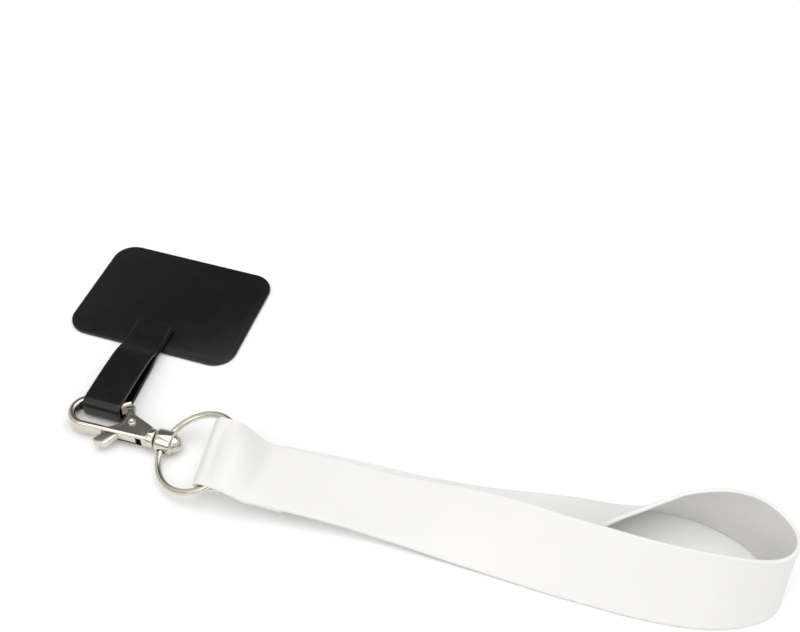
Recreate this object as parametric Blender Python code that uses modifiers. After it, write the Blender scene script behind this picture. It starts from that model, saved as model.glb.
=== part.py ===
"""Phone lanyard, lying on a table.

A flat white strap is sewn into a loop through a round wire ring. The ring hangs in the
swivel eye of a cast trigger hook, and a black tab with a flat patch loops round the hook.
Metres, +Z up. The table is z = 0, the strap runs towards +X, and +Y is the far side.
"""
from math import asin, atan2, ceil, cos, degrees, hypot, pi, radians, sin

import bmesh
import bpy
from mathutils import Matrix, Vector

for old in list(bpy.data.objects):
    bpy.data.objects.remove(old, do_unlink=True)

# Clearances between pieces.
SEAT_GAP = 0.0003
PIN_GAP = 0.00015

# Wrist strap. The fold's offset is how far it lies from the ring's middle.
STRAP_WIDTH = 0.0183
STRAP_THICK = 0.0010
STRAP_REACH = 0.1390
LOOP_SPREAD = 0.0313
FOLD_OFFSET = 0.0020
FOLD_R = 0.0010
STRAP_STEP = 0.0035

# Ring. Its inside just takes the folded strap.
RING_WIRE_R = 0.00085
RING_PITCH = radians(19.8)
RING_ROLL = radians(11.2)
RING_SWING = radians(14.7)
RING_INNER_R = hypot(STRAP_WIDTH / 2 + SEAT_GAP, FOLD_OFFSET + STRAP_THICK)
RING_R = RING_INNER_R + RING_WIRE_R

# Tether tab and the patch on its hidden end.
TAB_WIDTH = 0.0100
TAB_THICK = 0.0009
TAB_REACH = 0.0335
TAB_DRIFT = 0.0008
TAB_STEP = 0.0012
PATCH_WIDTH = 0.0480
PATCH_DEPTH = 0.0360
PATCH_THICK = 0.0009
PATCH_CORNER = 0.0060
TAB_LAP = 0.0080

# Cast hook. Its own frame has x = 0 at the collar's middle, x along the swivel's axis.
BODY_THICK = 0.0036
BODY_EDGE = 0.0006
HOOK_LENGTH = 0.0234
HOOK_OUTER_R = 0.0050
HOOK_BAR = 0.0020
SPINE_BAR = 0.0017
HOOK_SHIFT = 0.0025
THROAT_R = 0.0030
SHOULDER_R = 0.0009
COLLAR_R = 0.0025
COLLAR_HALF = 0.0010
CLASP_YAW = radians(1.0)
CLASP_AXIS_Z = BODY_THICK / 2 + SEAT_GAP + TAB_THICK

# Swivel eye.
BARREL_R = 0.0030
BARREL_LENGTH = 0.0043
BARREL_EDGE = 0.0004
DOME_R = 0.00225
STEM_R = 0.00075
STEM_HEAD_R = 0.00125
STEM_HEAD_THICK = 0.0006
SWIVEL_GAP = 0.0005

# Trigger lever and its rivet.
LEVER_THICK = 0.0020
LEVER_EDGE = 0.0003
PIVOT_X = -0.0061
PIVOT_Y = 0.0019
HUB_R = 0.0020
GATE_R = 0.0056
GATE_START = 112
GATE_STOP = 129
THUMB_REACH = 0.0036
THUMB_WIDTH = 0.0037
THUMB_SLANT = 0.0014
RIVET_R = 0.0007
RIVET_HEAD_R = 0.0010
RIVET_HEAD_THICK = 0.0003

# How finely round forms are cut.
RING_STEPS = 64
WIRE_STEPS = 10
TURN_STEPS = 32
PIN_STEPS = 24
MERGE = 0.00001

parts = bpy.data.collections.new("phone_lanyard")
cutters = bpy.data.collections.new("cutters")
bpy.context.scene.collection.children.link(parts)
bpy.context.scene.collection.children.link(cutters)


def material(name, colour, roughness, metallic=0.0):
    mat = bpy.data.materials.new(name)
    mat.use_nodes = True
    shader = mat.node_tree.nodes["Principled BSDF"]
    shader.inputs["Base Color"].default_value = (*colour, 1.0)
    shader.inputs["Roughness"].default_value = roughness
    shader.inputs["Metallic"].default_value = metallic
    return mat


SATIN = material("white_satin_polyester", (0.86, 0.86, 0.84), 0.55)
NICKEL = material("nickel_plate", (0.66, 0.64, 0.60), 0.18, 1.0)
BLACK = material("black_polyurethane", (0.012, 0.011, 0.010), 0.42)


def finish(obj, mat, sharp=40):
    """Gives a mesh piece its material and shades its round faces smooth."""
    obj.data.materials.clear()
    obj.data.materials.append(mat)
    obj.data.shade_smooth()
    obj.data.set_sharp_from_angle(angle=radians(sharp))
    return obj


def new_object(name, data, collection, matrix):
    obj = bpy.data.objects.new(name, data)
    collection.objects.link(obj)
    obj.matrix_world = matrix
    return obj


def boolean(obj, tool, operation="DIFFERENCE"):
    """Adds an exact boolean, with its tool hidden from the render."""
    tool.hide_render = True
    tool.display_type = "WIRE"
    mod = obj.modifiers.new(tool.name, "BOOLEAN")
    mod.operation = operation
    mod.solver = "EXACT"
    mod.object = tool


def arc(centre, radius, start, stop, steps):
    """Points on an arc from one angle to another, both in degrees."""
    angles = [radians(start + (stop - start) * i / steps) for i in range(steps + 1)]
    return [(centre[0] + radius * cos(a), centre[1] + radius * sin(a)) for a in angles]


def plate(name, outline, thickness, collection, matrix, edge=0.0):
    """A flat outline extruded to both sides of its plane, as a closed mesh."""
    curve = bpy.data.curves.new(name, "CURVE")
    curve.dimensions = "2D"
    curve.fill_mode = "BOTH"
    curve.extrude = thickness / 2 - edge
    curve.bevel_depth = edge
    curve.bevel_resolution = 1
    curve.offset = -edge
    spline = curve.splines.new("POLY")
    spline.points.add(len(outline) - 1)
    for slot, (x, y) in zip(spline.points, outline):
        slot.co = (x, y, 0.0, 1.0)
    spline.use_cyclic_u = True
    draft = new_object(name + "_outline", curve, collection, matrix)
    bpy.context.view_layer.update()
    graph = bpy.context.evaluated_depsgraph_get()
    solid = bpy.data.meshes.new_from_object(draft.evaluated_get(graph))
    bpy.data.objects.remove(draft, do_unlink=True)
    bm = bmesh.new()
    bm.from_mesh(solid)
    bmesh.ops.remove_doubles(bm, verts=bm.verts, dist=MERGE)
    bmesh.ops.dissolve_degenerate(bm, edges=bm.edges, dist=MERGE / 2)
    bmesh.ops.recalc_face_normals(bm, faces=bm.faces)
    bm.to_mesh(solid)
    bm.free()
    return new_object(name, solid, collection, matrix)


def cylinder(name, radius, start, stop, matrix, sides=TURN_STEPS):
    """A closed cutter cylinder along local Z, from one height to another."""
    bm = bmesh.new()
    bmesh.ops.create_cone(bm, cap_ends=True, segments=sides, radius1=radius, radius2=radius,
                          depth=stop - start)
    bmesh.ops.translate(bm, verts=bm.verts, vec=(0, 0, (start + stop) / 2))
    mesh = bpy.data.meshes.new(name)
    bm.to_mesh(mesh)
    bm.free()
    return new_object(name, mesh, cutters, matrix)


def torus(name, wire_r, wire_steps, collection):
    """A torus of the ring's radius, in the ring's place."""
    bpy.ops.mesh.primitive_torus_add(major_radius=RING_R, minor_radius=wire_r,
                                     major_segments=RING_STEPS, minor_segments=wire_steps)
    obj = bpy.context.object
    obj.name = name
    for home in list(obj.users_collection):
        home.objects.unlink(obj)
    collection.objects.link(obj)
    obj.matrix_world = ring_frame
    return obj


def turned(name, profile, matrix, mat, steps=TURN_STEPS):
    """A profile of (radius, height) rows, from top to bottom, turned about local Z."""
    mesh = bpy.data.meshes.new(name)
    points = [(r, 0.0, z) for r, z in profile]
    mesh.from_pydata(points, [(i, i + 1) for i in range(len(points) - 1)], [])
    obj = new_object(name, mesh, parts, matrix)
    screw = obj.modifiers.new("turn", "SCREW")
    screw.axis = "Z"
    screw.angle = 2 * pi
    screw.steps = steps
    screw.render_steps = steps
    screw.use_merge_vertices = True
    screw.merge_threshold = MERGE
    screw.use_smooth_shade = True
    obj.data.materials.append(mat)
    return obj


def smooth_rows(rows, spacing):
    """Catmull-Rom through rows of numbers, resampled about evenly along the first three."""
    fine = []
    for i in range(len(rows) - 1):
        a, b = rows[max(i - 1, 0)], rows[i]
        c, d = rows[i + 1], rows[min(i + 2, len(rows) - 1)]
        steps = max(1, ceil((Vector(c[:3]) - Vector(b[:3])).length / spacing))
        for k in range(steps):
            t = k / steps
            fine.append([0.5 * (2 * q + (r - p) * t + (2 * p - 5 * q + 4 * r - s) * t * t
                                + (3 * q - p - 3 * r + s) * t ** 3)
                         for p, q, r, s in zip(a, b, c, d)])
    fine.append(list(rows[-1]))
    return fine


def ribbon(name, stations, width, thick, across, mat):
    """A closed strip through stations of centre, width direction and crown height.

    Each cross-section is a thin bar: its two faces follow the width direction, and the crown
    lifts the middle along the strip's own normal.
    """
    bm = bmesh.new()
    rings = []
    last = len(stations) - 1
    shares = [2 * k / across - 1 for k in range(across + 1)]
    for i, (centre, side, crown) in enumerate(stations):
        ahead = stations[min(i + 1, last)][0] - stations[max(i - 1, 0)][0]
        normal = ahead.cross(side).normalized()
        middle = [centre + side * (width / 2 * v) + normal * (crown * (1 - v * v)) for v in shares]
        top = [bm.verts.new(p + normal * thick / 2) for p in middle]
        under = [bm.verts.new(p - normal * thick / 2) for p in reversed(middle)]
        rings.append(top + under)
    for one, two in zip(rings, rings[1:]):
        for k in range(len(one)):
            n = (k + 1) % len(one)
            bm.faces.new((one[k], one[n], two[n], two[k]))
    for end in (rings[0], rings[-1]):
        for k in range(across):
            bm.faces.new((end[k], end[k + 1], end[-2 - k], end[-1 - k]))
    bmesh.ops.recalc_face_normals(bm, faces=bm.faces)
    mesh = bpy.data.meshes.new(name)
    bm.to_mesh(mesh)
    bm.free()
    return finish(new_object(name, mesh, parts, Matrix()), mat, 50)


# Frames. The swivel's cross hole stands over the world's origin.
swivel_centre = Vector((0, 0, CLASP_AXIS_Z))
barrel_start = COLLAR_HALF + SWIVEL_GAP
barrel_end = barrel_start + BARREL_LENGTH
clasp_frame = (Matrix.Translation(swivel_centre) @ Matrix.Rotation(CLASP_YAW, 4, "Z")
               @ Matrix.Translation((-(barrel_start + barrel_end) / 2, 0, 0)))
axis_frame = clasp_frame @ Matrix.Rotation(pi / 2, 4, "Y")
pivot_frame = clasp_frame @ Matrix.Translation((PIVOT_X, PIVOT_Y, 0))
ring_turn = Matrix.Rotation(-RING_PITCH, 4, "Y") @ Matrix.Rotation(RING_ROLL, 4, "X")
hole_in_ring = Vector((-RING_R * cos(RING_SWING), RING_R * sin(RING_SWING), 0))
ring_frame = Matrix.Translation(swivel_centre - ring_turn @ hole_in_ring) @ ring_turn


# Ring: round wire, bent to a circle and closed.
ring = finish(torus("ring", RING_WIRE_R, WIRE_STEPS, parts), NICKEL)


# Swivel eye: dome, barrel with the cross hole, stem and the stem's head inside the hook.
head_start = -COLLAR_HALF - STEM_HEAD_THICK - PIN_GAP
head_end = head_start + STEM_HEAD_THICK
eye_profile = [(DOME_R * sin(radians(a)), barrel_end + DOME_R * cos(radians(a)))
               for a in range(0, 105, 15)]
eye_profile += [(BARREL_R - BARREL_EDGE, barrel_end), (BARREL_R, barrel_end - BARREL_EDGE),
                (BARREL_R, barrel_start + BARREL_EDGE), (BARREL_R - BARREL_EDGE, barrel_start),
                (STEM_R, barrel_start), (STEM_R, head_end), (STEM_HEAD_R, head_end),
                (STEM_HEAD_R, head_start), (0, head_start)]
swivel_eye = turned("swivel_eye", eye_profile, axis_frame, NICKEL)
boolean(swivel_eye, torus("ring_way", RING_WIRE_R + SEAT_GAP, WIRE_STEPS + 2, cutters))


# Hook body: the C-shaped hook, its spine and the tapered back, cast in one with the collar.
bend_x = HOOK_OUTER_R - HOOK_LENGTH
far_outer = HOOK_SHIFT + HOOK_OUTER_R
far_inner = far_outer - HOOK_BAR
near_outer = HOOK_SHIFT - HOOK_OUTER_R
near_inner = near_outer + SPINE_BAR
bend_inner_r = (far_inner - near_inner) / 2
bend_inner_y = (far_inner + near_inner) / 2
tip_r = GATE_R + SEAT_GAP
tip_outer = 180 - degrees(asin((far_outer - PIVOT_Y) / tip_r))
tip_inner = 180 - degrees(asin((far_inner - PIVOT_Y) / tip_r))
throat_x = PIVOT_X - HUB_R * 1.15
shoulder_y = PIVOT_Y + HUB_R * 1.6 - SHOULDER_R
back_x = -COLLAR_HALF * 0.4
body_outline = [(back_x, near_outer * 0.8)]
body_outline += arc((bend_x, HOOK_SHIFT), HOOK_OUTER_R, 270, 90, 20)
body_outline += arc((PIVOT_X, PIVOT_Y), tip_r, tip_outer, tip_inner, 4)
body_outline += arc((bend_x, bend_inner_y), bend_inner_r, 90, 270, 16)
body_outline += arc((throat_x - THROAT_R, near_inner + THROAT_R), THROAT_R, 270, 350, 6)
body_outline += arc((throat_x + SHOULDER_R, shoulder_y), SHOULDER_R, 180, 60, 5)
body_outline += [(back_x, COLLAR_R * 0.92)]
clasp_body = plate("clasp_body", body_outline, BODY_THICK, parts, clasp_frame, BODY_EDGE)
finish(clasp_body, NICKEL)
collar = cylinder("collar", COLLAR_R, -COLLAR_HALF, COLLAR_HALF, axis_frame)
boolean(clasp_body, collar, "UNION")

# The slot for the lever, the stem's bore with a pocket for its head, and the rivet's hole.
slot_end = head_start - SEAT_GAP
slot_left = -HOOK_LENGTH * 0.54
slot_right = PIVOT_X + HUB_R * 1.3
slot_thick = LEVER_THICK + 1.6 * SEAT_GAP
slot_outline = [(slot_left, near_outer * 2), (slot_end, near_outer * 2),
                (slot_end, PIVOT_Y - HUB_R * 1.35), (PIVOT_X + HUB_R * 1.9, PIVOT_Y - HUB_R * 0.4),
                (slot_right, PIVOT_Y + HUB_R * 0.5),
                (PIVOT_X + HUB_R * 0.4, PIVOT_Y + HUB_R * 1.3),
                (PIVOT_X - HUB_R * 0.1, far_inner), (throat_x - HUB_R, far_inner),
                (throat_x - HUB_R, near_inner + THROAT_R), (slot_left, near_inner + THROAT_R)]
boolean(clasp_body, plate("lever_slot", slot_outline, slot_thick, cutters, clasp_frame))
bore = cylinder("stem_bore", STEM_R + PIN_GAP, slot_end, COLLAR_HALF * 2, axis_frame)
boolean(clasp_body, bore)
pocket = cylinder("stem_pocket", STEM_HEAD_R + PIN_GAP, slot_end - STEM_HEAD_THICK,
                  -COLLAR_HALF, axis_frame)
boolean(clasp_body, pocket)
rivet_hole = cylinder("rivet_hole", RIVET_R + PIN_GAP, -BODY_THICK, BODY_THICK, pivot_frame,
                      PIN_STEPS)
boolean(clasp_body, rivet_hole)


# Rivet: a plain pin with a low, dished head on the hook's face.
head_z = BODY_THICK / 2 + PIN_GAP
rivet_top = head_z + RIVET_HEAD_THICK
dish_z = rivet_top - RIVET_HEAD_THICK * 0.5
# Columns: share of the head's radius, height.
head_rows = [(0.0, dish_z), (0.45, dish_z), (0.6, rivet_top), (0.85, rivet_top), (1.0, dish_z),
             (1.0, head_z)]
rivet_profile = [(RIVET_HEAD_R * share, z) for share, z in head_rows]
rivet_profile += [(RIVET_R, head_z), (RIVET_R, -head_z), (RIVET_HEAD_R, -head_z),
                  (RIVET_HEAD_R * 0.8, -rivet_top), (0, -rivet_top)]
clasp_rivet = turned("clasp_rivet", rivet_profile, pivot_frame, NICKEL, PIN_STEPS)


# Trigger lever: thumb tab, flat flank in the slot, hub and gate. Its origin is on the rivet.
lever_right = HUB_R * 1.35
flank_y = near_outer * 0.84 - PIVOT_Y
thumb_right = -HUB_R * 1.1
thumb_left = thumb_right - THUMB_WIDTH
thumb_y = flank_y - THUMB_REACH
thumb_knee = thumb_y + THUMB_WIDTH * 0.2
lever_outline = [(lever_right * 0.92, flank_y), (lever_right, -HUB_R * 1.15)]
lever_outline += arc((0, 0), HUB_R, 0, 80, 5)
lever_outline += arc((0, 0), GATE_R, GATE_START, GATE_STOP, 3)
lever_outline += [(-HUB_R * 1.1, HUB_R * 0.1), (thumb_left, near_inner - PIVOT_Y),
                  (thumb_left, flank_y), (thumb_left - THUMB_SLANT, thumb_knee),
                  (thumb_left - THUMB_SLANT * 0.7, thumb_y),
                  (thumb_right - THUMB_SLANT * 1.3, thumb_y),
                  (thumb_right - THUMB_SLANT, thumb_knee), (thumb_right, flank_y)]
trigger_lever = plate("trigger_lever", lever_outline, LEVER_THICK, parts, pivot_frame, LEVER_EDGE)
finish(trigger_lever, NICKEL)
lever_hole = cylinder("lever_hole", RIVET_R + PIN_GAP, -LEVER_THICK, LEVER_THICK, pivot_frame,
                      PIN_STEPS)
boolean(trigger_lever, lever_hole)


# Tether tab: one soft strip from the patch, round the hook's far bar and back to the patch.
tab_x = (clasp_frame @ Vector((bend_x + HOOK_OUTER_R * 0.57, 0, 0))).x
far_bar = clasp_frame @ Vector((0, far_inner - HOOK_BAR * 0.65, 0))
tab_wall = far_bar.y - SEAT_GAP - TAB_THICK / 2
loop_bend = TAB_THICK * 1.6
loop_half = BODY_THICK / 2 + SEAT_GAP + TAB_THICK / 2
loop_top = CLASP_AXIS_Z + loop_half
loop_low = CLASP_AXIS_Z - loop_half
low_end = PATCH_THICK + SEAT_GAP + TAB_THICK / 2
high_end = low_end + TAB_THICK + SEAT_GAP
# Columns: share of the tab's reach from the hook, then how far the upper layer is from the
# patch to the loop's top, and how far the lower layer is from the loop's foot to the patch.
TAB_SAG = [(0.13, 1.00, 0.00), (0.28, 0.94, 0.10), (0.43, 0.84, 0.42), (0.58, 0.62, 0.66),
           (0.68, 0.25, 1.30), (0.78, 0.03, 1.03), (0.88, 0.00, 1.00), (1.00, 0.00, 1.00)]
upper = []
lower = []
for share, high, low in TAB_SAG:
    y = tab_wall + TAB_REACH * share
    upper.append((y, high_end + (loop_top - high_end) * high))
    lower.append((y, loop_low + (low_end - loop_low) * low))
tab_path = list(reversed(upper))
tab_path += arc((tab_wall + loop_bend, loop_top - loop_bend), loop_bend, 90, 180, 4)
tab_path += arc((tab_wall + loop_bend, loop_low + loop_bend), loop_bend, 180, 270, 4)
tab_path += lower
tab_stations = []
for _, y, z in smooth_rows([[0.0, y, z] for y, z in tab_path], TAB_STEP):
    x = tab_x - TAB_DRIFT * max(0.0, y - tab_wall) / TAB_REACH
    tab_stations.append((Vector((x, y, z)), Vector((-1, 0, 0)), 0.0))
tether_tab = ribbon("tether_tab", tab_stations, TAB_WIDTH, TAB_THICK, 2, BLACK)


# Patch: a flat rounded sheet that the tab's two ends are fixed on.
half_w = PATCH_WIDTH / 2 - PATCH_CORNER
half_d = PATCH_DEPTH / 2 - PATCH_CORNER
patch_outline = []
for sx, sy, start in ((1, 1, 0), (-1, 1, 90), (-1, -1, 180), (1, -1, 270)):
    patch_outline += arc((sx * half_w, sy * half_d), PATCH_CORNER, start, start + 90, 6)
patch_y = tab_wall + TAB_REACH - TAB_LAP + PATCH_DEPTH / 2
patch_frame = Matrix.Translation((tab_x - TAB_DRIFT, patch_y, PATCH_THICK / 2))
anchor_patch = plate("anchor_patch", patch_outline, PATCH_THICK, parts, patch_frame,
                     PATCH_THICK * 0.2)
finish(anchor_patch, BLACK)


# Wrist strap. The fold and the layers over the ring follow the ring's own plane.
layer = STRAP_THICK + SEAT_GAP
fold_centre = FOLD_OFFSET + STRAP_THICK / 2 + FOLD_R
fold_x = (ring_frame @ Vector((FOLD_OFFSET, 0, 0))).x
over_wire = RING_WIRE_R + SEAT_GAP + STRAP_THICK / 2
lean_deg = degrees(asin(ring_turn[2][1]))
turn_deg = degrees(atan2(-ring_turn[0][1], ring_turn[1][1]))


def ring_row(u_share, v_share, n_share, lean_share=1.0, crown=0.0):
    """A row over or under the ring: shares of the ring's radius and of the wire's clearance."""
    centre = ring_frame @ Vector((RING_R * u_share, RING_R * v_share, over_wire * n_share))
    return [*centre, lean_deg * lean_share, turn_deg, crown * STRAP_THICK]


def table_row(x_share, y_share, lean, turn, lift, crown):
    """A row on the table: centre from shares, height from the hem that rests below it."""
    tilt = radians(lean)
    hem_z = STRAP_THICK / 2 * cos(tilt) + lift * layer
    return [fold_x + x_share * STRAP_REACH, y_share * LOOP_SPREAD,
            hem_z + STRAP_WIDTH / 2 * sin(tilt), lean, turn, crown * STRAP_THICK]


# Columns: share of reach, share of spread, lean and turn in degrees, layers below, crown.
TAIL = [(0.092, -0.070, -1, 3, 2.6, 0.3), (0.118, -0.060, -3, 2, 2.4, 0.0),
        (0.160, -0.045, -3, 2, 1.7, 0.0)]
UPPER_LEG = [(0.098, -0.120, -2, 2, 4.6, 1.6), (0.122, -0.108, -3, 2, 4.5, 0.5),
             (0.160, -0.085, -3, 2, 3.9, 0.0), (0.215, -0.058, -2, 2, 3.2, 0.0),
             (0.275, -0.036, -1, 1, 2.3, 0.0), (0.330, -0.025, 1, 0, 1.5, 0.0),
             (0.380, -0.023, 6, -1, 0.95, 0.0), (0.425, -0.034, 13, -1, 0.6, 0.0),
             (0.490, -0.058, 24, -1, 0.2, 0.0), (0.560, -0.095, 35, 0, 0.0, 0.0),
             (0.625, -0.130, 43, 0, 0.0, 0.0), (0.690, -0.145, 47, 0, 0.0, 0.0),
             (0.761, -0.153, 50, 1, 0.0, 0.0), (0.828, -0.142, 54, 8, 0.0, 0.0),
             (0.886, -0.112, 60, 21, 0.0, 0.0), (0.937, -0.055, 69, 42, 0.0, 0.0),
             (0.974, 0.042, 78, 70, 0.0, 0.0), (0.989, 0.175, 86, 95, 0.0, 0.0)]
LOWER_LEG = [(0.983, 0.316, 91, 118, 0.0, 0.0), (0.958, 0.448, 92, 139, 0.0, 0.0),
             (0.926, 0.542, 90, 155, 0.0, 0.0), (0.886, 0.583, 85, 168, 0.0, 0.0),
             (0.846, 0.580, 77, 177, 0.0, 0.0), (0.808, 0.548, 70, 182, 0.0, 0.0),
             (0.774, 0.493, 62, 186, 0.0, 0.0), (0.738, 0.427, 53, 187, 0.0, 0.0),
             (0.701, 0.362, 44, 187, 0.0, 0.0), (0.647, 0.284, 25, 187, 0.0, 0.0),
             (0.564, 0.195, 8, 187, 0.0, 0.0), (0.480, 0.128, 1, 186, 0.0, 0.0),
             (0.387, 0.084, 0, 185, 0.0, 0.0), (0.330, 0.058, 1, 184, 0.4, 0.0),
             (0.275, 0.035, 2, 183, 0.9, 0.0), (0.215, 0.000, 3, 182, 1.5, 0.0),
             (0.160, -0.040, 3, 182, 2.1, 0.0), (0.122, -0.065, 3, 182, 2.7, 0.0)]

strap_rows = [table_row(*row) for row in reversed(TAIL)]
strap_rows += [ring_row(0.84, 0.0, -1.2), ring_row(0.62, 0.0, -1.15), ring_row(0.42, 0.0, -1.0)]
for angle in range(270, 89, -30):
    u = fold_centre + FOLD_R * cos(radians(angle))
    strap_rows.append(ring_row(u / RING_R, 0.0, FOLD_R * sin(radians(angle)) / over_wire))
strap_rows += [ring_row(0.42, -0.01, 1.0), ring_row(0.62, -0.05, 1.0),
               ring_row(0.84, -0.10, 0.75, 0.9, 1.4), ring_row(1.0, -0.12, -0.15, 0.5, 2.9)]
strap_rows += [table_row(*row) for row in UPPER_LEG + LOWER_LEG]
strap_stations = []
for x, y, z, lean, turn, crown in smooth_rows(strap_rows, STRAP_STEP):
    tilt, heading = radians(lean), radians(turn)
    side = Vector((-sin(heading) * cos(tilt), cos(heading) * cos(tilt), sin(tilt)))
    strap_stations.append((Vector((x, y, z)), side, crown))
wrist_strap = ribbon("wrist_strap", strap_stations, STRAP_WIDTH, STRAP_THICK, 4, SATIN)


# The whole lanyard is moved so that its box stands centred over the world's origin.
bpy.context.view_layer.update()
depsgraph = bpy.context.evaluated_depsgraph_get()
spots = []
for obj in parts.objects:
    shape = obj.evaluated_get(depsgraph)
    spots += [obj.matrix_world @ vert.co for vert in shape.data.vertices]
low_x, high_x = min(p.x for p in spots), max(p.x for p in spots)
low_y, high_y = min(p.y for p in spots), max(p.y for p in spots)
low_z = min(p.z for p in spots)
shift = Matrix.Translation((-(low_x + high_x) / 2, -(low_y + high_y) / 2, -low_z))
for obj in list(parts.objects) + list(cutters.objects):
    obj.matrix_world = shift @ obj.matrix_world
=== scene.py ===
from math import ceil, cos, pi, radians, sin

import bmesh
import bpy
from mathutils import Matrix, Vector


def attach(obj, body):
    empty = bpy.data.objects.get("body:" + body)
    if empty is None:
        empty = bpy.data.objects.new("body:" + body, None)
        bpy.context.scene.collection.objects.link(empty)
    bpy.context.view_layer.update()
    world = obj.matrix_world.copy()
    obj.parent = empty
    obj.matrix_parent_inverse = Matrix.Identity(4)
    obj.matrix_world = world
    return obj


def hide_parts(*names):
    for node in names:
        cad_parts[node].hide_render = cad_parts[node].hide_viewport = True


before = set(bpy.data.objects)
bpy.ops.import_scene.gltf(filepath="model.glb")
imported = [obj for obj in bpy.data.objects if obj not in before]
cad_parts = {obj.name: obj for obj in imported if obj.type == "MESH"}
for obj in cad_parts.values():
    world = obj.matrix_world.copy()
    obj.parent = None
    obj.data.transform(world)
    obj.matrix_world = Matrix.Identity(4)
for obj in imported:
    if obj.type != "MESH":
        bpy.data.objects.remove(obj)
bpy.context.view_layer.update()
scene = bpy.context.scene
MM = 0.001

# Camera.
# It stands where the photograph was taken from, about 0.3 m away and looking down at 46
# degrees, with a normal lens on a full frame.
LENS_MM = 50.52
CAMERA_PLACE = Vector((0.04371, -0.17567, 0.22568))
CAMERA_RIGHT = Vector((0.95712, 0.28729, 0.03724))
CAMERA_DOWN = Vector((0.23069, -0.67810, -0.69783))

camera_data = bpy.data.cameras.new("camera")
camera_data.sensor_width = 36
camera_data.sensor_fit = "HORIZONTAL"
camera_data.lens = LENS_MM
camera_data.clip_start = 0.01
camera = bpy.data.objects.new("camera", camera_data)
scene.collection.objects.link(camera)
camera_back = CAMERA_DOWN.cross(CAMERA_RIGHT)
turn = Matrix((CAMERA_RIGHT, -CAMERA_DOWN, camera_back)).transposed()
camera.matrix_world = Matrix.Translation(CAMERA_PLACE) @ turn.to_4x4()
scene.camera = camera


# Table.
# A plain white sweep that the lanyard lies on.
def linear(code, alpha=1.0):
    """An sRGB hex code such as "f4f3f1" as a linear colour."""
    shares = [int(code[i:i + 2], 16) / 255 for i in (0, 2, 4)]
    curve = [s / 12.92 if s <= 0.04045 else ((s + 0.055) / 1.055) ** 2.4 for s in shares]
    return (*curve, alpha)


def add_node(tree, kind, inputs=None, **settings):
    """Adds a node. Each input is a number, a colour or another node's output."""
    made = tree.nodes.new(kind)
    for name, value in settings.items():
        setattr(made, name, value)
    for name, value in (inputs or {}).items():
        if isinstance(value, bpy.types.NodeSocket):
            tree.links.new(value, made.inputs[name])
        else:
            made.inputs[name].default_value = value
    return made


def new_material(name):
    """A material with its node tree and its Principled shader."""
    made = bpy.data.materials.new(name)
    made.use_nodes = True
    return made, made.node_tree, made.node_tree.nodes["Principled BSDF"]


table_paint, tree, shader = new_material("white_table")
shader.inputs["Base Color"].default_value = linear("ffffff")
shader.inputs["Roughness"].default_value = 0.85
shader.inputs["Specular IOR Level"].default_value = 0.1
bm = bmesh.new()
bmesh.ops.create_grid(bm, x_segments=1, y_segments=1, size=3.0)
bmesh.ops.translate(bm, verts=bm.verts, vec=(0, 0, -0.00005))
table_mesh = bpy.data.meshes.new("table")
bm.to_mesh(table_mesh)
bm.free()
table = bpy.data.objects.new("table", table_mesh)
scene.collection.objects.link(table)
table_mesh.materials.append(table_paint)


# Light.
# A white room with a dark card behind, a soft box overhead and another beside the camera.
# Columns: name, place and width in metres, power in watts.
LIGHTS = [("overhead_box", (0.05, 0.05, 0.75), 0.80, 3.1),
          ("camera_box", (-0.25, -0.75, 0.55), 0.70, 1.3)]
for name, place, width, power in LIGHTS:
    lamp = bpy.data.lights.new(name, "AREA")
    lamp.shape = "SQUARE"
    lamp.size = width
    lamp.energy = power
    light = bpy.data.objects.new(name, lamp)
    scene.collection.objects.link(light)
    light.matrix_world = (Matrix.Translation(place)
                          @ Vector(place).to_track_quat("Z", "Y").to_matrix().to_4x4())

CARD_DIRECTION = (-0.175, 0.676, 0.715)
CARD_RIM = 0.72
CARD_CORE = 0.94
CARD_LEFT = 0.19
ROOM_BRIGHT = 0.80
ROOM_FOOT = 0.14
world = bpy.data.worlds.new("white_room")
scene.world = world
world.use_nodes = True
tree = world.node_tree
sky = add_node(tree, "ShaderNodeTexCoord").outputs["Generated"]
height = add_node(tree, "ShaderNodeSeparateXYZ", {0: sky}).outputs["Z"]
low_band = add_node(tree, "ShaderNodeMapRange", {"Value": height, "From Min": 0.0, "From Max": 0.42,
                                                 "To Min": ROOM_FOOT, "To Max": ROOM_BRIGHT},
                    interpolation_type="SMOOTHSTEP").outputs[0]
toward = add_node(tree, "ShaderNodeVectorMath", {0: sky, 1: CARD_DIRECTION}, operation="DOT_PRODUCT")
card = add_node(tree, "ShaderNodeMapRange", {"Value": toward.outputs["Value"], "From Min": CARD_RIM,
                                             "From Max": CARD_CORE, "To Min": 1.0, "To Max": CARD_LEFT},
                interpolation_type="SMOOTHSTEP").outputs[0]
room = add_node(tree, "ShaderNodeMath", {0: low_band, 1: card}, operation="MULTIPLY").outputs[0]
tree.nodes["Background"].inputs["Color"].default_value = linear("ffffff")
tree.links.new(room, tree.nodes["Background"].inputs["Strength"])


# Wrist strap.
# Flat satin-woven polyester webbing, 18 mm wide. It is folded through the ring, and its two
# ends are sewn together there as a stack. The rest opens into a loop that stands on one edge.
STRAP_WIDTH = 18.3
STRAP_THICK = 1.0
STRAP_STEP = 1.0
STRAP_ACROSS = 22
# Yarn pitch in millimetres. Real satin is finer; it is drawn as coarse as the render can show.
WARP_PITCH = 0.26
WEFT_PITCH = 0.34
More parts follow.
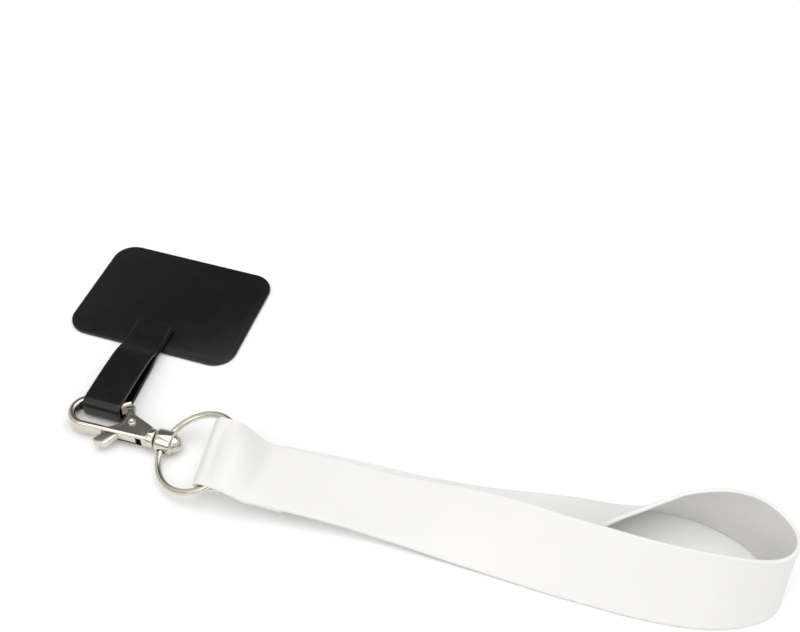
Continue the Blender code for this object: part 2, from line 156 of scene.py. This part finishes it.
# Columns: x, y and z of the middle in millimetres, lean and turn in degrees, crown.
STRAP_ROUTE = [
    (-19.13, -26.81, 2.28, -3.0, 2.0, 0.00), (-24.97, -27.28, 3.19, -3.0, 2.0, 0.00),
    (-28.58, -27.60, 3.77, -1.0, 3.0, 0.30), (-34.09, -27.70, 7.31, 10.5, 3.8, 0.00),
    (-36.34, -27.72, 6.58, 10.5, 3.8, 0.00), (-38.45, -27.77, 6.08, 10.5, 3.8, 0.00),
    (-39.63, -27.89, 6.34, 10.5, 3.8, 0.00), (-40.14, -27.92, 6.29, 10.5, 3.8, 0.00),
    (-40.61, -27.99, 6.50, 10.5, 3.8, 0.00), (-40.90, -28.09, 6.92, 10.5, 3.8, 0.00),
    (-40.94, -28.18, 7.43, 10.5, 3.8, 0.00), (-40.72, -28.25, 7.89, 10.5, 3.8, 0.00),
    (-40.29, -28.28, 8.18, 10.5, 3.8, 0.00), (-39.54, -28.51, 9.11, 10.5, 3.8, 0.00),
    (-37.49, -28.93, 9.76, 10.5, 3.8, 0.00), (-35.09, -29.38, 10.08, 9.5, 3.8, 1.40),
    (-32.96, -29.30, 9.26, 5.3, 3.8, 2.90), (-27.75, -29.16, 6.21, -2.0, 2.0, 1.60),
    (-24.41, -28.79, 5.92, -3.0, 2.0, 0.50), (-19.13, -28.07, 5.14, -3.0, 2.0, 0.00),
    (-11.49, -27.22, 4.39, -2.0, 2.0, 0.00), (-3.15, -26.53, 3.38, -1.0, 1.0, 0.00),
    (4.50, -26.19, 2.66, 1.0, 0.0, 0.00), (11.45, -26.13, 2.74, 6.0, -1.0, 0.00),
    (17.70, -26.47, 3.37, 13.0, -1.0, 0.00), (26.74, -27.22, 4.48, 24.0, -1.0, 0.00),
    (36.47, -28.38, 5.70, 35.0, 0.0, 0.00), (45.50, -29.48, 6.65, 43.0, 0.0, 0.00),
    (54.54, -29.94, 7.08, 47.0, 0.0, 0.00), (64.41, -30.20, 7.38, 50.0, 1.0, 0.00),
    (73.72, -29.85, 7.74, 54.0, 8.0, 0.00), (81.78, -28.91, 8.22, 60.0, 21.0, 0.00),
    (88.87, -27.13, 8.77, 69.0, 42.0, 0.00), (94.01, -24.09, 9.10, 78.0, 70.0, 0.00),
    (96.10, -19.93, 9.21, 86.0, 95.0, 0.00), (95.26, -15.52, 9.19, 91.0, 118.0, 0.00),
    (91.79, -11.38, 9.17, 92.0, 139.0, 0.00), (87.34, -8.44, 9.20, 90.0, 155.0, 0.00),
    (81.78, -7.16, 9.21, 85.0, 168.0, 0.00), (76.22, -7.25, 9.07, 77.0, 177.0, 0.00),
    (70.94, -8.25, 8.82, 70.0, 182.0, 0.00), (66.21, -9.98, 8.36, 62.0, 186.0, 0.00),
    (61.21, -12.04, 7.65, 53.0, 187.0, 0.00), (56.07, -14.08, 6.76, 44.0, 187.0, 0.00),
    (48.56, -16.52, 4.37, 25.0, 187.0, 0.00), (37.02, -19.30, 1.81, 8.0, 187.0, 0.00),
    (25.35, -21.40, 0.71, 1.0, 186.0, 0.00), (12.42, -22.78, 0.55, 0.0, 185.0, 0.00),
    (4.50, -23.59, 1.23, 1.0, 184.0, 0.00), (-3.15, -24.31, 2.04, 2.0, 183.0, 0.00),
    (-11.49, -25.41, 2.97, 3.0, 182.0, 0.00), (-19.13, -26.66, 3.75, 3.0, 182.0, 0.00),
    (-24.41, -27.44, 4.53, 3.0, 182.0, 0.00)]


def smooth_route(rows, spacing):
    """Catmull-Rom through rows of numbers, with a new row about every spacing."""
    fine = []
    for i in range(len(rows) - 1):
        a, b = rows[max(i - 1, 0)], rows[i]
        c, d = rows[i + 1], rows[min(i + 2, len(rows) - 1)]
        steps = max(1, ceil((Vector(c[:3]) - Vector(b[:3])).length / spacing))
        for k in range(steps):
            t = k / steps
            fine.append([0.5 * (2 * q + (r - p) * t + (2 * p - 5 * q + 4 * r - s) * t * t
                                + (3 * q - p - 3 * r + s) * t ** 3)
                         for p, q, r, s in zip(a, b, c, d)])
    fine.append(list(rows[-1]))
    return fine


def lay_strip(name, stations, width, thick, across):
    """A grid laid along stations of (middle, width direction, crown), all in millimetres.

    Its UV map is in millimetres too: U runs along the strip and V across it from its middle.
    """
    last = len(stations) - 1
    run = [0.0]
    for one, two in zip(stations, stations[1:]):
        run.append(run[-1] + (two[0] - one[0]).length)
    bm = bmesh.new()
    uv = bm.loops.layers.uv.new("UVMap")
    bmesh.ops.create_grid(bm, x_segments=last, y_segments=across, size=0.5, calc_uvs=True)
    for loop in (loop for face in bm.faces for loop in face.loops):
        along = run[round((loop.vert.co.x + 0.5) * last)]
        loop[uv].uv = (along, loop.vert.co.y * width)
    for vert in bm.verts:
        i = round((vert.co.x + 0.5) * last)
        share = vert.co.y * 2
        middle, side, crown = stations[i]
        ahead = stations[min(i + 1, last)][0] - stations[max(i - 1, 0)][0]
        up = ahead.cross(side).normalized()
        vert.co = (middle + side * (width / 2 * share) + up * (crown * (1 - share ** 2))) * MM
    mesh = bpy.data.meshes.new(name)
    bm.to_mesh(mesh)
    bm.free()
    mesh.shade_smooth()
    piece = bpy.data.objects.new(name, mesh)
    scene.collection.objects.link(piece)
    wall = piece.modifiers.new("wall", "SOLIDIFY")
    wall.thickness = thick * MM
    wall.offset = 0.0
    rim = piece.modifiers.new("rim", "BEVEL")
    rim.width = thick * 0.3 * MM
    rim.segments = 3
    rim.limit_method = "ANGLE"
    rim.angle_limit = radians(50)
    return piece, run[-1]


strap_stations = []
for x, y, z, lean, heading, crown in smooth_route(STRAP_ROUTE, STRAP_STEP):
    tilt, way = radians(lean), radians(heading)
    side = Vector((-sin(way) * cos(tilt), cos(way) * cos(tilt), sin(tilt)))
    strap_stations.append((Vector((x, y, z)), side, crown))
strap, strap_length = lay_strip("satin_strap", strap_stations, STRAP_WIDTH, STRAP_THICK,
                                STRAP_ACROSS)

satin, tree, shader = new_material("white_satin_weave")
uv_map = add_node(tree, "ShaderNodeUVMap", uv_map="UVMap").outputs["UV"]
across = add_node(tree, "ShaderNodeSeparateXYZ", {0: uv_map})
place = add_node(tree, "ShaderNodeTexCoord").outputs["Object"]
tone = add_node(tree, "ShaderNodeTexNoise", {"Vector": place, "Scale": 90.0, "Detail": 3.0})
tint = add_node(tree, "ShaderNodeMix", {0: tone.outputs["Fac"], 6: linear("f0efeb"),
                                        7: linear("ebeae6")}, data_type="RGBA")
tree.links.new(tint.outputs[2], shader.inputs["Base Color"])
warp = add_node(tree, "ShaderNodeMath", {0: across.outputs["Y"], 1: 2 * pi / WARP_PITCH},
                operation="MULTIPLY")
warp = add_node(tree, "ShaderNodeMath", {0: warp.outputs[0]}, operation="SINE")
weft = add_node(tree, "ShaderNodeMath", {0: across.outputs["X"], 1: 2 * pi / WEFT_PITCH},
                operation="MULTIPLY")
weft = add_node(tree, "ShaderNodeMath", {0: weft.outputs[0]}, operation="SINE")
cloth = add_node(tree, "ShaderNodeMath", {0: warp.outputs[0], 1: weft.outputs[0]}, operation="ADD")
weave = add_node(tree, "ShaderNodeBump", {"Strength": 0.12, "Distance": 0.00004,
                                          "Height": cloth.outputs[0]})
tree.links.new(weave.outputs["Normal"], shader.inputs["Normal"])
shader.inputs["Roughness"].default_value = 0.55
shader.inputs["Sheen Weight"].default_value = 0.25
shader.inputs["Sheen Roughness"].default_value = 0.4
shader.inputs["Specular IOR Level"].default_value = 0.35
strap.data.materials.append(satin)
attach(strap, "strap_and_ring")
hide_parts("wrist_strap")


# Ring.
# Round steel wire of 1.7 mm, bent to a closed ring and nickel plated.
WIRE_R = 0.85
RING_R = 10.765
RING_CLEARANCE = 0.3
RING_PLACE = Matrix(((0.940881, -0.065794, -0.332287, -0.043255),
                     (0.0, 0.980955, -0.194234, -0.028086),
                     (0.338738, 0.182751, 0.922962, 0.006074), (0.0, 0.0, 0.0, 1.0)))


def bent_wire(radius):
    """A closed circle of round wire, of the ring's own size."""
    bm = bmesh.new()
    section = Matrix.Translation((RING_R, 0, 0)) @ Matrix.Rotation(pi / 2, 4, "X")
    bmesh.ops.create_circle(bm, segments=20, radius=radius, matrix=section)
    bmesh.ops.spin(bm, geom=bm.edges[:], cent=(0, 0, 0), axis=(0, 0, 1), angle=2 * pi, steps=128,
                   use_merge=True)
    bmesh.ops.recalc_face_normals(bm, faces=bm.faces)
    return bm


def nickel_finish(name, light, dark):
    """Polished nickel plate with faint polishing marks and a trace of tarnish."""
    made, tree, shader = new_material(name)
    place = add_node(tree, "ShaderNodeTexCoord").outputs["Object"]
    cloud = add_node(tree, "ShaderNodeTexNoise", {"Vector": place, "Scale": 240.0, "Detail": 4.0})
    tint = add_node(tree, "ShaderNodeMix", {0: cloud.outputs["Fac"], 6: linear(light),
                                            7: linear(dark)}, data_type="RGBA")
    tree.links.new(tint.outputs[2], shader.inputs["Base Color"])
    gloss = add_node(tree, "ShaderNodeMapRange", {"Value": cloud.outputs["Fac"], "From Min": 0.3,
                                                  "From Max": 0.7, "To Min": 0.10, "To Max": 0.20})
    tree.links.new(gloss.outputs[0], shader.inputs["Roughness"])
    marks = add_node(tree, "ShaderNodeTexNoise", {"Vector": place, "Scale": 1500.0, "Detail": 2.0})
    bump = add_node(tree, "ShaderNodeBump", {"Strength": 0.04, "Distance": 0.00002,
                                             "Height": marks.outputs["Fac"]})
    tree.links.new(bump.outputs["Normal"], shader.inputs["Normal"])
    shader.inputs["Metallic"].default_value = 1.0
    return made


def finished(name, bm, place, coat, body, node=None, angle=40):
    """Turns a shape in millimetres into a smooth-shaded piece that stands in its place."""
    bmesh.ops.scale(bm, vec=(MM, MM, MM), verts=bm.verts)
    bmesh.ops.transform(bm, matrix=place, verts=bm.verts)
    mesh = bpy.data.meshes.new(name)
    bm.to_mesh(mesh)
    bm.free()
    mesh.shade_smooth()
    mesh.set_sharp_from_angle(angle=radians(angle))
    mesh.materials.append(coat)
    piece = bpy.data.objects.new(name, mesh)
    scene.collection.objects.link(piece)
    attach(piece, body)
    if node:
        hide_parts(node)
    return piece


nickel = nickel_finish("nickel_plate", "ddd8cc", "cfc9bb")
finished("wire_ring", bent_wire(WIRE_R), RING_PLACE, nickel, "strap_and_ring",
         "ring")


# Swivel eye.
# A turned brass barrel with a domed end, plated. The ring runs through its cross hole, and
# its stem turns in the hook's collar.
HOOK_PLACE = Matrix(((0.999848, -0.017452, 0.0, -0.056881), (0.017452, 0.999848, 0.0, -0.02547),
                     (0.0, 0.0, 1.0, 0.003046), (0.0, 0.0, 0.0, 1.0)))
EYE_PROFILE = [(0.0, 8.05), (0.60, 7.97), (1.14, 7.74), (1.60, 7.39), (1.95, 6.93), (2.16, 6.45),
               (2.24, 6.05), (2.28, 5.86), (2.40, 5.78), (2.62, 5.76), (2.82, 5.68), (2.94, 5.54),
               (3.0, 5.34), (3.0, 1.96), (2.95, 1.74), (2.82, 1.58), (2.60, 1.50), (0.75, 1.50),
               (0.75, -1.15), (1.25, -1.15), (1.25, -1.75), (0.0, -1.75)]


def turned(profile, steps):
    """A bmesh of (radius, distance) rows turned about the X axis."""
    bm = bmesh.new()
    row = [bm.verts.new((x, r, 0)) for r, x in profile]
    edges = [bm.edges.new(pair) for pair in zip(row, row[1:])]
    bmesh.ops.spin(bm, geom=row + edges, cent=(0, 0, 0), axis=(1, 0, 0), angle=2 * pi, steps=steps,
                   use_merge=True)
    bmesh.ops.remove_doubles(bm, verts=bm.verts, dist=0.001)
    bmesh.ops.recalc_face_normals(bm, faces=bm.faces)
    return bm


def cut(piece, bm, place):
    """Takes the shape in bm, given in millimetres, away from a piece."""
    bmesh.ops.scale(bm, vec=(MM, MM, MM), verts=bm.verts)
    bmesh.ops.transform(bm, matrix=place, verts=bm.verts)
    mesh = bpy.data.meshes.new("cutter")
    bm.to_mesh(mesh)
    bm.free()
    cutter = bpy.data.objects.new("cutter", mesh)
    scene.collection.objects.link(cutter)
    coat = piece.data.materials[0]
    step = piece.modifiers.new("cut", "BOOLEAN")
    step.solver = "EXACT"
    step.object = cutter
    bpy.context.view_layer.update()
    graph = bpy.context.evaluated_depsgraph_get()
    done = bpy.data.meshes.new_from_object(piece.evaluated_get(graph))
    piece.modifiers.remove(step)
    piece.data = done
    done.materials.clear()
    done.materials.append(coat)
    done.shade_smooth()
    done.set_sharp_from_angle(angle=radians(35))
    bpy.data.objects.remove(cutter, do_unlink=True)


eye = finished("swivel_barrel", turned(EYE_PROFILE, 64), HOOK_PLACE, nickel, "strap_and_ring",
               "swivel_eye")
cut(eye, bent_wire(WIRE_R + RING_CLEARANCE), RING_PLACE)


# Hook.
# A zinc casting: the C-shaped bar, its spine, the flat tapered back and the collar, all with
# edges rounded by the mould, then tumbled and nickel plated.
HOOK_THICK = 3.6
HOOK_ROUNDING = 0.76
SLOT_THICK = 2.48
HOLE_R = 0.85
STEM_BORE_R = 0.9
POCKET_R = 1.4
# Moves: a line to a point, or an arc about a centre by an angle in steps.
HOOK_START = (-0.4, -2.1)
HOOK_MOVES = [("line", -18.4, -2.5), ("arc", -18.4, 2.5, -180, 26), ("line", -7.96, 7.5),
              ("line", -8.77, 7.16), ("line", -9.52, 6.71), ("line", -10.19, 6.15),
              ("line", -10.77, 5.5), ("line", -18.4, 5.5), ("arc", -18.4, 2.35, 180, 22),
              ("line", -11.4, -0.8), ("arc", -11.4, 2.2, 80, 8), ("line", -8.4, 4.2),
              ("arc", -7.5, 4.2, -115, 8), ("line", -0.4, 2.3)]


def traced(start, moves, thick):
    """A flat outline, drawn by lines and arcs, and raised to both sides of its plane."""
    bm = bmesh.new()
    point = bm.verts.new((*start, -thick / 2))
    for kind, x, y, *sweep in moves:
        if kind == "line":
            made = bmesh.ops.extrude_vert_indiv(bm, verts=[point])
            point = made["verts"][0]
            point.co = (x, y, -thick / 2)
        else:
            made = bmesh.ops.spin(bm, geom=[point], cent=(x, y, -thick / 2), axis=(0, 0, 1),
                                  angle=radians(sweep[0]), steps=sweep[1])
            point = [v for v in made["geom_last"] if isinstance(v, bmesh.types.BMVert)][0]
    bmesh.ops.remove_doubles(bm, verts=bm.verts, dist=0.02)
    ends = [v for v in bm.verts if len(v.link_edges) == 1]
    if len(ends) == 2:
        bm.edges.new(ends)
    bmesh.ops.contextual_create(bm, geom=bm.edges[:])
    base = bm.faces[:]
    made = bmesh.ops.extrude_face_region(bm, geom=base, use_keep_orig=True)
    bmesh.ops.translate(bm, vec=(0, 0, thick),
                        verts=[v for v in made["geom"] if isinstance(v, bmesh.types.BMVert)])
    bmesh.ops.recalc_face_normals(bm, faces=bm.faces)
    return bm


def round_rims(bm, width, segments):
    """Rounds the edges between a flat form's two faces and its walls."""
    rims = [e for e in bm.edges
            if len(e.link_faces) == 2 and any(abs(f.normal.z) > 0.9 for f in e.link_faces)]
    bmesh.ops.bevel(bm, geom=rims, offset=width, offset_type="OFFSET", segments=segments,
                    profile=0.5, affect="EDGES", clamp_overlap=False, material=-1)


bm = traced(HOOK_START, HOOK_MOVES, HOOK_THICK)
round_rims(bm, HOOK_ROUNDING, 5)
hook = finished("hook_casting", bm, HOOK_PLACE, nickel, "hook_and_tether",
                "clasp_body", 35)
SLOT_MOVES = [("line", -2.05, -5.0), ("line", -2.05, -0.8), ("line", -2.3, 1.1), ("line", -3.5, 2.9),
              ("line", -5.3, 4.5), ("line", -6.3, 5.5), ("line", -10.4, 5.5), ("line", -10.4, 2.2),
              ("line", -12.64, 2.2)]
cut(hook, traced((-12.64, -5.0), SLOT_MOVES, SLOT_THICK), HOOK_PLACE)


def drill(piece, radius, start, stop, place, sides=32):
    """Drills a round hole along local Z, from one height to another, in millimetres."""
    bm = bmesh.new()
    bmesh.ops.create_cone(bm, cap_ends=True, segments=sides, radius1=radius, radius2=radius,
                          depth=stop - start)
    bmesh.ops.translate(bm, verts=bm.verts, vec=(0, 0, (start + stop) / 2))
    cut(piece, bm, place)


PIVOT_PLACE = HOOK_PLACE @ Matrix.Translation((-0.0061, 0.0019, 0))
SWIVEL_AXIS = HOOK_PLACE @ Matrix.Rotation(pi / 2, 4, "Y")
drill(hook, STEM_BORE_R, -2.06, 2.0, SWIVEL_AXIS)
drill(hook, POCKET_R, -2.65, -1.0, SWIVEL_AXIS)
drill(hook, HOLE_R, -3.0, 3.0, PIVOT_PLACE)

COLLAR_PROFILE = [(1.0, 1.0), (2.18, 1.0), (2.36, 0.93), (2.47, 0.78), (2.5, 0.6), (2.5, -0.6),
                  (2.44, -0.85), (2.2, -1.0), (1.0, -1.0)]
finished("hook_collar", turned(COLLAR_PROFILE, 48), HOOK_PLACE, nickel, "hook_and_tether")


# Rivet.
# The pin that the trigger turns on, headed over on the hook's face, with a dimple in its head.
RIVET_PLACE = PIVOT_PLACE @ Matrix.Rotation(-pi / 2, 4, "Y")
RIVET_PROFILE = [(0.0, 1.92), (0.2, 1.94), (0.42, 2.05), (0.55, 2.18), (0.68, 2.24), (0.82, 2.22),
                 (0.93, 2.14), (1.0, 2.02), (1.0, 1.85), (0.7, 1.85), (0.7, -1.85), (1.0, -1.85),
                 (1.0, -2.02), (0.9, -2.16), (0.7, -2.22), (0.0, -2.24)]
finished("rivet_pin", turned(RIVET_PROFILE, 36), RIVET_PLACE, nickel, "hook_and_tether",
         "clasp_rivet")


# Trigger.
# The cast lever: a thumb tab outside the hook, a flank in its slot, and the gate that closes
# on the hook's tip.
LEVER_THICK = 2.0
LEVER_ROUNDING = 0.3
LEVER_MOVES = [("line", 2.7, -2.3), ("line", 2.0, 0.0), ("arc", 0.0, 0.0, 80, 8), ("line", -2.1, 5.19),
               ("arc", 0.0, 0.0, 17, 4), ("line", -2.2, 0.2), ("line", -5.9, -2.7), ("line", -5.9, -4.0),
               ("line", -7.2, -6.5), ("arc", -6.6, -6.9, 100, 6), ("line", -4.4, -7.6),
               ("arc", -4.4, -6.9, 70, 6), ("line", -2.2, -4.0)]
bm = traced((2.48, -4.0), LEVER_MOVES, LEVER_THICK)
round_rims(bm, LEVER_ROUNDING, 3)
lever = finished("trigger_casting", bm, PIVOT_PLACE, nickel, "trigger",
                 "trigger_lever")
drill(lever, HOLE_R, -3.0, 3.0, PIVOT_PLACE)


# Tether tab.
# Soft black polyurethane sheet, folded round the hook's bar into two layers.
TAB_WIDTH = 10.0
TAB_THICK = 0.9
TAB_X = -72.43
TAB_DRIFT = 0.8
TAB_WALL = -22.02
TAB_REACH = 33.5
TAB_STEP = 0.5
TAB_ACROSS = 10
TAB_ROUTE = [(11.48, 2.90), (7.46, 2.90), (4.11, 2.98), (0.76, 3.57), (-2.59, 4.57), (-7.62, 5.16),
             (-12.64, 5.43), (-17.67, 5.60), (-20.58, 5.60), (-21.13, 5.49), (-21.60, 5.17),
             (-21.91, 4.71), (-22.02, 4.16), (-22.02, 1.94), (-21.91, 1.39), (-21.60, 0.92),
             (-21.13, 0.61), (-20.58, 0.50), (-17.67, 0.50), (-12.64, 0.62), (-7.62, 1.00),
             (-2.59, 1.29), (0.76, 2.06), (4.11, 1.73), (7.46, 1.70), (11.48, 1.70)]
tab_stations = []
for _, y, z in smooth_route([(0.0, y, z) for y, z in TAB_ROUTE], TAB_STEP):
    x = TAB_X - TAB_DRIFT * max(0.0, y - TAB_WALL) / TAB_REACH
    tab_stations.append((Vector((x, y, z)), Vector((-1, 0, 0)), 0.0))
tab, _ = lay_strip("tether_loop", tab_stations, TAB_WIDTH, TAB_THICK, TAB_ACROSS)

black_sheet, tree, shader = new_material("black_polyurethane")
place = add_node(tree, "ShaderNodeTexCoord").outputs["Object"]
grain = add_node(tree, "ShaderNodeTexVoronoi", {"Vector": place, "Scale": 2600.0})
haze = add_node(tree, "ShaderNodeTexNoise", {"Vector": place, "Scale": 300.0, "Detail": 3.0})
tint = add_node(tree, "ShaderNodeMix", {0: haze.outputs["Fac"], 6: linear("080706"),
                                        7: linear("0d0c0b")}, data_type="RGBA")
tree.links.new(tint.outputs[2], shader.inputs["Base Color"])
gloss = add_node(tree, "ShaderNodeMapRange", {"Value": haze.outputs["Fac"], "To Min": 0.24,
                                               "To Max": 0.36})
tree.links.new(gloss.outputs[0], shader.inputs["Roughness"])
bump = add_node(tree, "ShaderNodeBump", {"Strength": 0.15, "Distance": 0.00005,
                                         "Height": grain.outputs["Distance"]})
tree.links.new(bump.outputs["Normal"], shader.inputs["Normal"])
shader.inputs["Specular IOR Level"].default_value = 0.45
tab.data.materials.append(black_sheet)
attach(tab, "hook_and_tether")
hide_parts("tether_tab")


# Patch.
# A flat rounded sheet of the same stuff that goes inside the phone's case.
PATCH_THICK = 0.9
PATCH_ROUNDING = 0.25
PATCH_PLACE = Matrix.Translation((-0.073228, 0.021479, 0.000496))
PATCH_MOVES = [("line", 18, -18), ("arc", 18, -12, 90, 12), ("line", 24, 12), ("arc", 18, 12, 90, 12),
               ("line", -18, 18), ("arc", -18, 12, 90, 12), ("line", -24, -12), ("arc", -18, -12, 90, 12)]
bm = traced((-18, -18), PATCH_MOVES, PATCH_THICK)
round_rims(bm, PATCH_ROUNDING, 3)
finished("tether_patch", bm, PATCH_PLACE, black_sheet, "hook_and_tether",
         "anchor_patch")

scene.view_settings.view_transform = "Standard"
bpy.context.view_layer.update()
